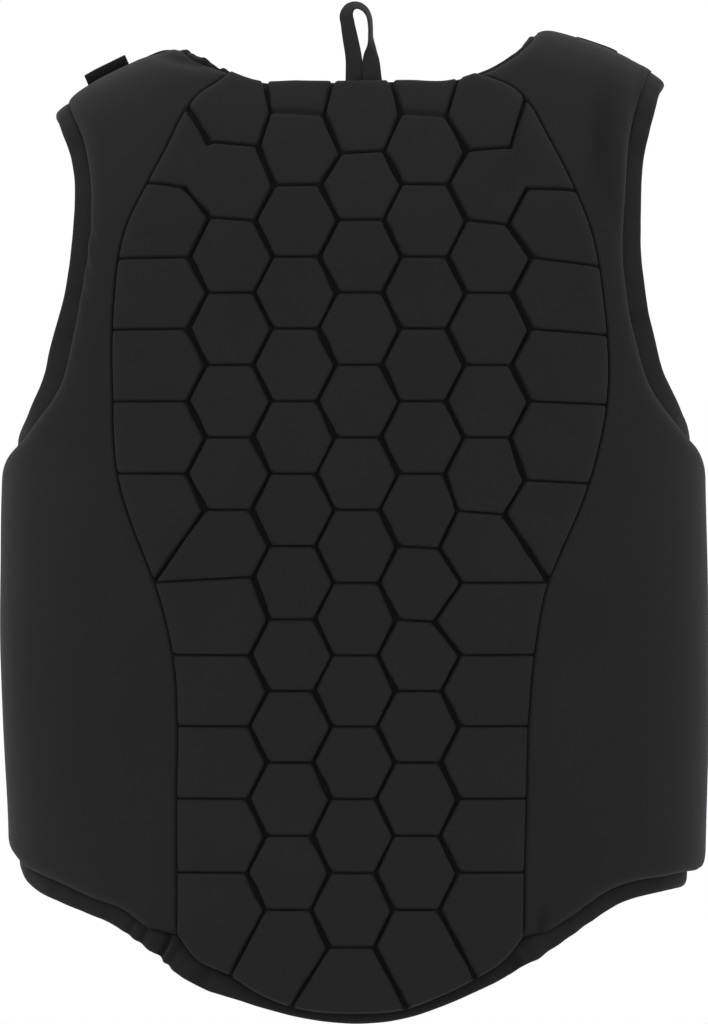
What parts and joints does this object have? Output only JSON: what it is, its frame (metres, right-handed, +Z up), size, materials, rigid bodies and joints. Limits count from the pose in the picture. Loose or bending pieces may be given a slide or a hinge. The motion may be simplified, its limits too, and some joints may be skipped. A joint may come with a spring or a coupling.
{
  "type": "equestrian body protector",
  "caption": "Padded vest for riders, worn form: hexagon quilted spine pad with a dropped tail, smooth side panels, bound armholes and hem, front closure and a hanging loop at the neck",
  "frame": {"origin": "On the shoulders, between the two neck points, where the vest sits on its wearer", "axes": "+Z up, +Y towards the wearer's front, +X towards the wearer's right, the quilted back faces -Y"},
  "size_m": [0.4376, 0.2423, 0.6135],
  "materials": {
    "shell_fabric": "matt woven polyester over closed-cell foam",
    "lining_fabric": "matt knitted mesh",
    "knit_binding": "matt knitted elastic binding",
    "closure_tape": "woven closure tape",
    "loop_tape": "woven tape"
  },
  "bodies": {
    "root": {"back_pad_hex": "shell_fabric", "back_side_left": "shell_fabric", "back_side_right": "shell_fabric", "front_left": "shell_fabric", "front_right": "shell_fabric", "lining_back": "lining_fabric", "lining_front_left": "lining_fabric", "lining_front_right": "lining_fabric", "armhole_binding_left": "knit_binding", "armhole_binding_right": "knit_binding", "neck_binding": "knit_binding", "hem_binding": "knit_binding", "front_zip": "closure_tape", "hang_loop": "loop_tape", "shoulder_tab_left": "closure_tape", "shoulder_tab_right": "closure_tape"}
  },
  "joints": []
}
